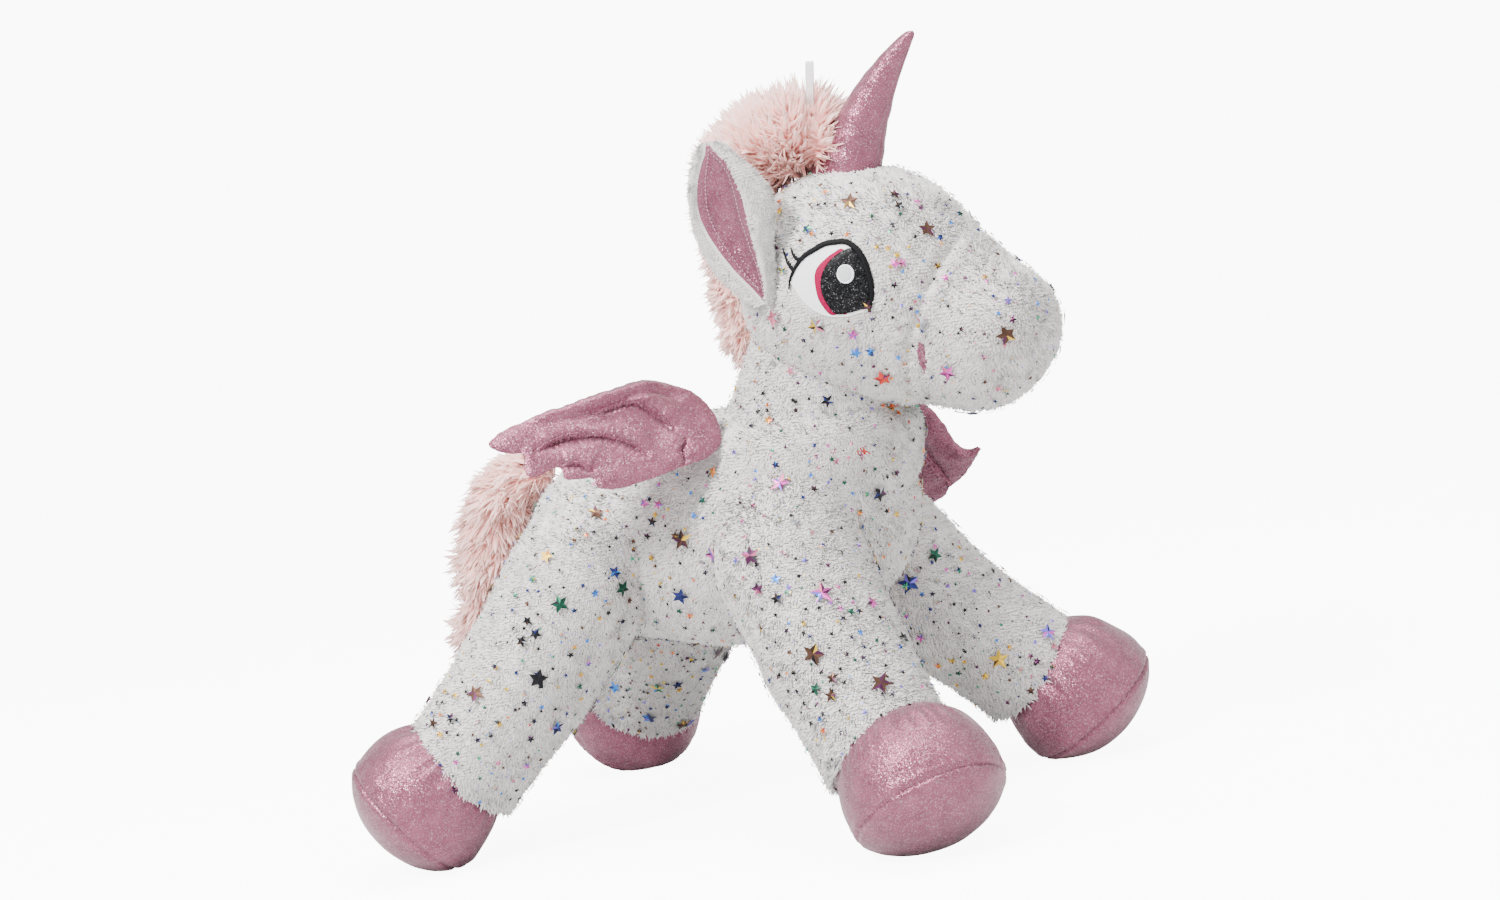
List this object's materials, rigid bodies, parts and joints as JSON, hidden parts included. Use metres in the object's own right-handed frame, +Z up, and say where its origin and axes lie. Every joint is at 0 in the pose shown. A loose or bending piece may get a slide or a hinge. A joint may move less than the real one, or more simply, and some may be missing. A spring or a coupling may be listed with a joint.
{
  "type": "plush unicorn",
  "caption": "Soft stuffed unicorn with foil wings, horn and hooves, a fur mane and tail, and limbs, ears, wings and head that flex at their seams.",
  "frame": {"origin": "on the floor, on the left-right middle plane, under the middle of the length from nose to tail", "axes": "+Z up, the animal faces -Y, its right side is -X"},
  "size_m": [0.429, 0.5644, 0.5718],
  "materials": {
    "white_plush": "matte",
    "foil_cloth": "satin",
    "pink_fur": "matte",
    "fibre_fill": "matte",
    "ribbon": "satin",
    "eye_white_cloth": "matte",
    "iris_cloth": "satin",
    "pupil_cloth": "satin",
    "highlight_cloth": "matte",
    "lash_thread": "satin"
  },
  "bodies": {
    "torso": {"torso_shell": "white_plush", "torso_stuffing": "fibre_fill"},
    "neck": {"neck_shell": "white_plush", "neck_stuffing": "fibre_fill"},
    "head": {"eye_left_highlight": "highlight_cloth", "eye_left_iris": "iris_cloth", "eye_left_lashes": "lash_thread", "eye_left_pupil": "pupil_cloth", "eye_left_white": "eye_white_cloth", "eye_right_highlight": "highlight_cloth", "eye_right_iris": "iris_cloth", "eye_right_lashes": "lash_thread", "eye_right_pupil": "pupil_cloth", "eye_right_white": "eye_white_cloth", "head_shell": "white_plush", "head_stuffing": "fibre_fill", "mane_fur": "pink_fur", "mouth_lining": "foil_cloth", "muzzle_shell": "white_plush"},
    "horn": {"horn_shell": "foil_cloth", "horn_stuffing": "fibre_fill"},
    "ear_right": {"ear_right_back": "white_plush", "ear_right_lining": "foil_cloth"},
    "ear_left": {"ear_left_back": "white_plush", "ear_left_lining": "foil_cloth"},
    "hang_loop": {"hang_loop": "ribbon"},
    "wing_right": {"wing_right_batting": "fibre_fill", "wing_right_inner_panel": "foil_cloth", "wing_right_outer_panel": "foil_cloth"},
    "wing_left": {"wing_left_batting": "fibre_fill", "wing_left_inner_panel": "foil_cloth", "wing_left_outer_panel": "foil_cloth"},
    "tail": {"tail_root": "pink_fur", "tail_fur": "pink_fur"},
    "leg_front_left": {"hoof_front_left_sole": "foil_cloth", "hoof_front_left_stuffing": "fibre_fill", "hoof_front_left_upper": "foil_cloth", "leg_front_left_shell": "white_plush", "leg_front_left_stuffing": "fibre_fill"},
    "leg_front_right": {"hoof_front_right_sole": "foil_cloth", "hoof_front_right_stuffing": "fibre_fill", "hoof_front_right_upper": "foil_cloth", "leg_front_right_shell": "white_plush", "leg_front_right_stuffing": "fibre_fill"},
    "leg_hind_left": {"hoof_hind_left_sole": "foil_cloth", "hoof_hind_left_stuffing": "fibre_fill", "hoof_hind_left_upper": "foil_cloth", "leg_hind_left_shell": "white_plush", "leg_hind_left_stuffing": "fibre_fill"},
    "leg_hind_right": {"hoof_hind_right_sole": "foil_cloth", "hoof_hind_right_stuffing": "fibre_fill", "hoof_hind_right_upper": "foil_cloth", "leg_hind_right_shell": "white_plush", "leg_hind_right_stuffing": "fibre_fill"}
  },
  "joints": [
    {"name": "neck_turn", "type": "hinge", "parent": "torso", "child": "neck", "pos_m": [0, -0.09426, 0.343], "axis": [0, 0, 1], "range_deg": [-20, 20]},
    {"name": "head_nod", "type": "hinge", "parent": "neck", "child": "head", "pos_m": [0, -0.09426, 0.343], "axis": [1, 0, 0], "range_deg": [-12, 12]},
    {"name": "horn_bend", "type": "hinge", "parent": "head", "child": "horn", "pos_m": [0, -0.14126, 0.4825], "axis": [1, 0, 0], "range_deg": [-5, 5]},
    {"name": "ear_right_flex", "type": "hinge", "parent": "head", "child": "ear_right", "pos_m": [-0.0795, -0.08526, 0.4], "axis": [0.3298, 0.944, 0.0009], "range_deg": [-35, 18]},
    {"name": "ear_left_flex", "type": "hinge", "parent": "head", "child": "ear_left", "pos_m": [0.0795, -0.08526, 0.4], "axis": [0.3298, -0.944, -0.0009], "range_deg": [-35, 18]},
    {"name": "hang_loop_sway", "type": "hinge", "parent": "head", "child": "hang_loop", "pos_m": [0, -0.10776, 0.486], "axis": [1, 0, 0], "range_deg": [-9, 9]},
    {"name": "wing_right_swing", "type": "hinge", "parent": "torso", "child": "wing_right", "pos_m": [-0.079, -0.01926, 0.303], "axis": [0.4227, 0.265, 0.8666], "range_deg": [-12, 45]},
    {"name": "wing_left_swing", "type": "hinge", "parent": "torso", "child": "wing_left", "pos_m": [0.079, -0.01526, 0.303], "axis": [-0.4026, -0.6454, 0.6491], "range_deg": [-8, 55]},
    {"name": "tail_lift", "type": "hinge", "parent": "torso", "child": "tail", "pos_m": [0, 0.17674, 0.276], "axis": [1, 0, 0], "range_deg": [-5, 60]},
    {"name": "leg_front_left_swing", "type": "hinge", "parent": "torso", "child": "leg_front_left", "pos_m": [0.075, -0.08026, 0.2], "axis": [1, 0, 0], "range_deg": [-20, 20]},
    {"name": "leg_front_right_swing", "type": "hinge", "parent": "torso", "child": "leg_front_right", "pos_m": [-0.075, -0.08026, 0.2], "axis": [1, 0, 0], "range_deg": [-20, 20]},
    {"name": "leg_hind_left_swing", "type": "hinge", "parent": "torso", "child": "leg_hind_left", "pos_m": [0.075, 0.10974, 0.195], "axis": [1, 0, 0], "range_deg": [-20, 20]},
    {"name": "leg_hind_right_swing", "type": "hinge", "parent": "torso", "child": "leg_hind_right", "pos_m": [-0.075, 0.10974, 0.195], "axis": [1, 0, 0], "range_deg": [-20, 20]}
  ]
}
